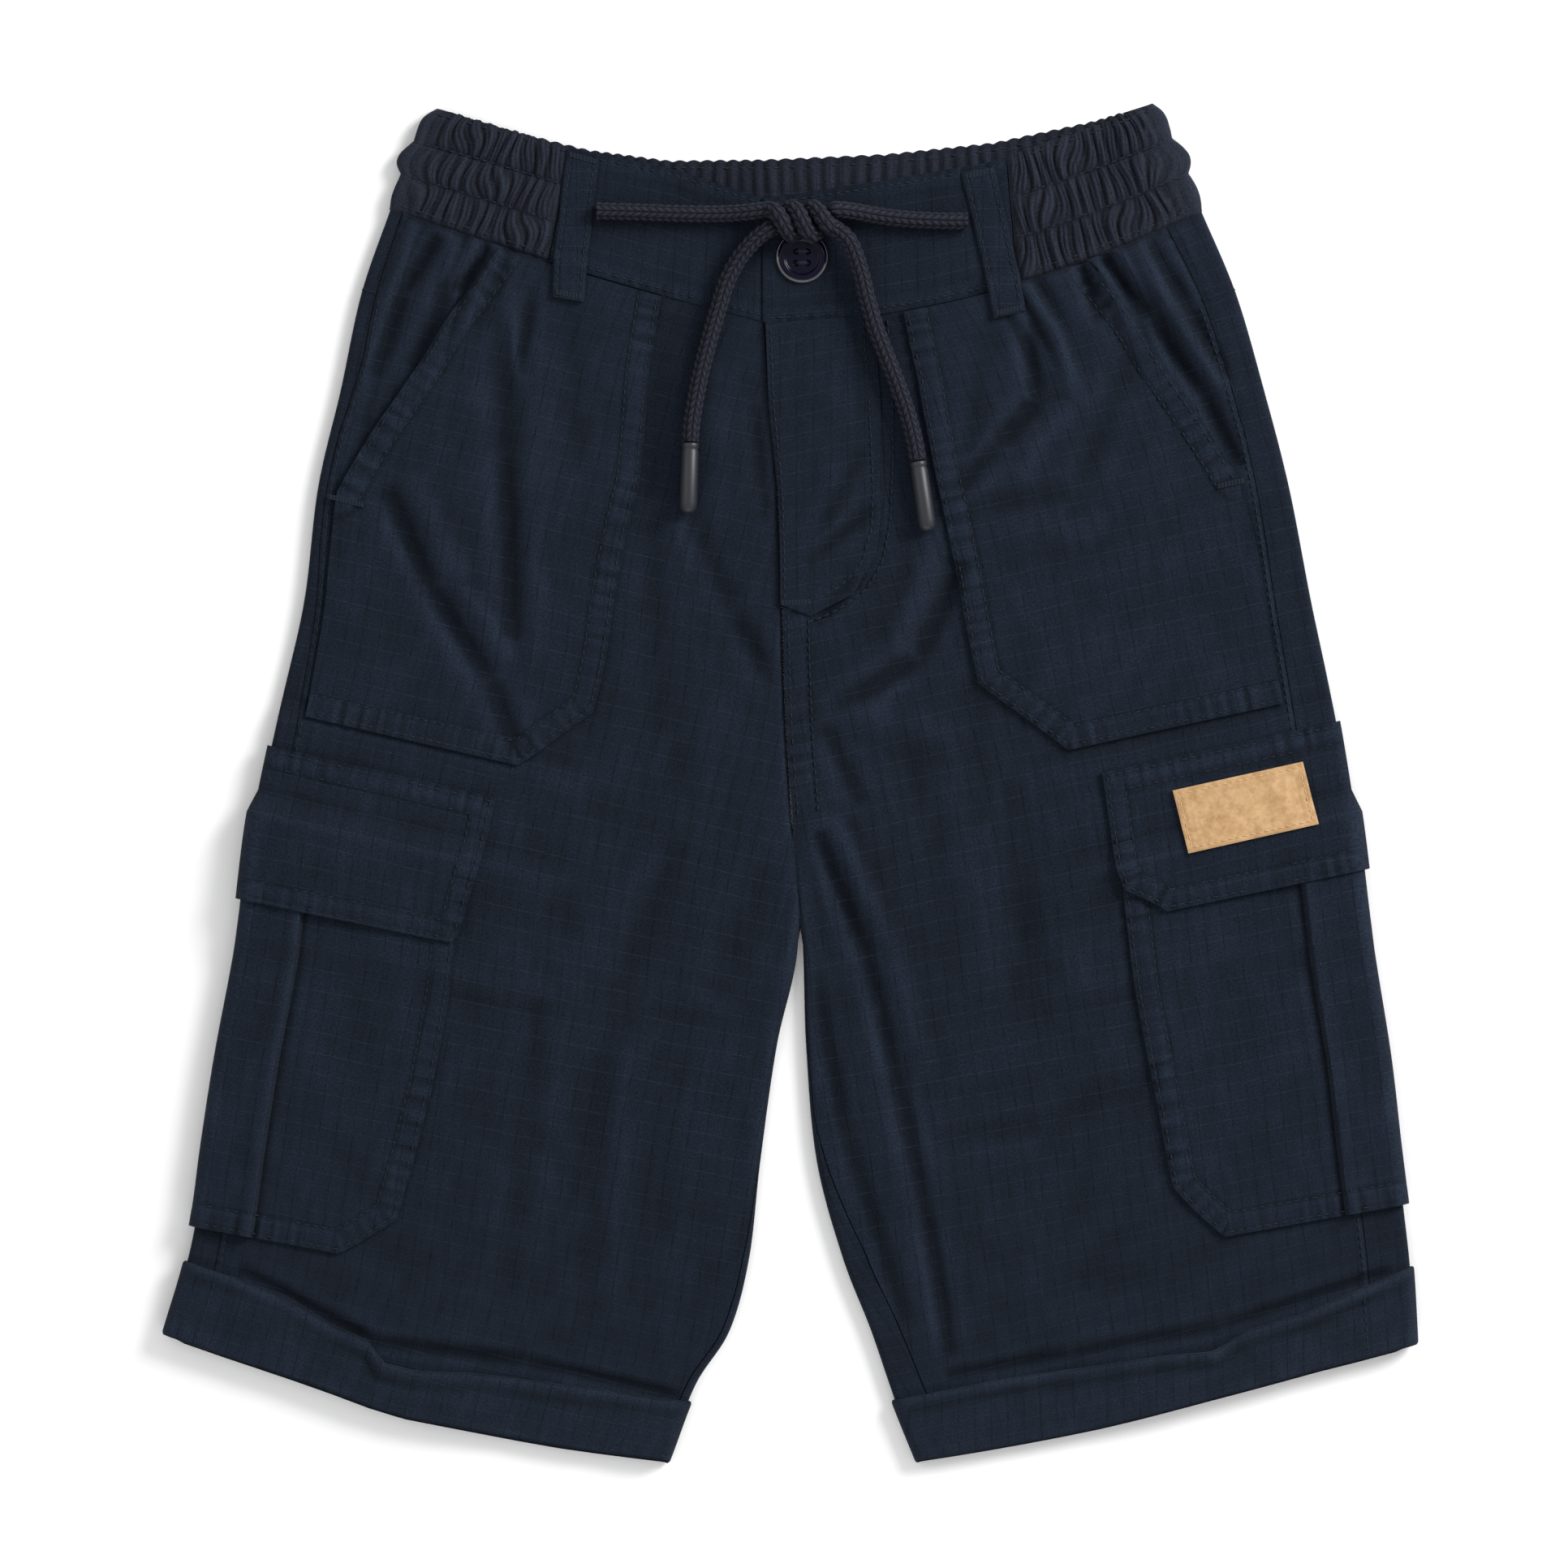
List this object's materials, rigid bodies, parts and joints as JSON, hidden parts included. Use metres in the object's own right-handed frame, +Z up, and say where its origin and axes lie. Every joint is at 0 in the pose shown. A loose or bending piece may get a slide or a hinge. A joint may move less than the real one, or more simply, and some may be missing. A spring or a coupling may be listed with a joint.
{
  "type": "cargo shorts",
  "caption": "Child's navy ripstop cargo shorts laid flat face up, with cargo pockets and flaps, slanted patch pockets, gathered waist and a half-knotted drawcord.",
  "frame": {"origin": "centre of the laid garment's outline without the drawcord, on the surface it lies on", "axes": "+Z up from the surface towards the viewer, +Y from the hems towards the waist, +X towards the wearer's left, which is the picture's right"},
  "size_m": [0.3726, 0.4028, 0.0148],
  "materials": {
    "cloth": "matt navy cotton ripstop",
    "leather": "tan leather-like patch, matt",
    "plastic": "dark glossy button",
    "cord": "round braided cord, matt",
    "metal": "dark grey satin cap"
  },
  "bodies": {
    "root": {"front_right": "cloth", "front_left": "cloth", "back_right": "cloth", "back_left": "cloth", "yoke_right": "cloth", "yoke_left": "cloth", "fly_overlap": "cloth", "patch_pocket_right": "cloth", "patch_pocket_left": "cloth", "cargo_pocket_right": "cloth", "cargo_pocket_left": "cloth", "cargo_flap_right": "cloth", "cargo_flap_left": "cloth", "cuff_right": "cloth", "cuff_left": "cloth", "waistband_front_right": "cloth", "waistband_front_left": "cloth", "waistband_side_right": "cloth", "waistband_side_left": "cloth", "waistband_back": "cloth", "belt_loop_right": "cloth", "belt_loop_left": "cloth", "label_patch": "leather", "button": "plastic", "drawcord_right": "cord", "drawcord_left": "cord", "aglet_right": "metal", "aglet_left": "metal"}
  },
  "joints": []
}
